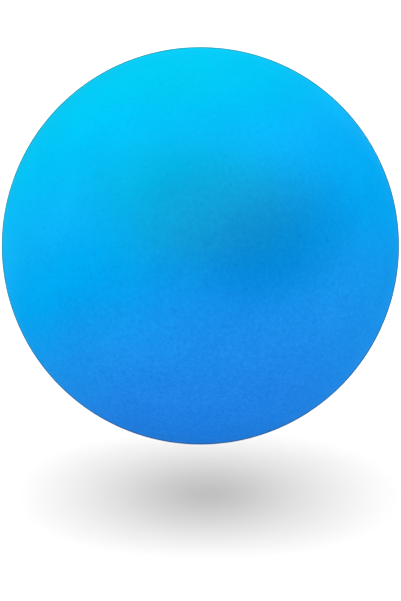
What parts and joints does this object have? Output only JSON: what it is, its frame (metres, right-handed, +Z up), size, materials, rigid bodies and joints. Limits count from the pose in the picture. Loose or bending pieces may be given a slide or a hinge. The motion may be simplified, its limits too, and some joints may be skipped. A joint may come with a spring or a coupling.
{
  "type": "lacrosse ball",
  "caption": "Solid rubber ball with a cured core inside a matte coloured cover, moulded as halves that meet at a low parting bead, for throwing, catching and massage.",
  "frame": {"origin": "centre of the ball", "axes": "+Z up, -Y towards the front; the moulding axis lies in the YZ plane, its front pole 20 degrees above -Y"},
  "size_m": [0.0639, 0.0634, 0.0634],
  "materials": {
    "core_rubber": "matte, as moulded",
    "cover_rubber": "matte blue, fine mould grain"
  },
  "bodies": {
    "root": {"core": "core_rubber", "front_cover": "cover_rubber", "rear_cover": "cover_rubber"}
  },
  "joints": []
}
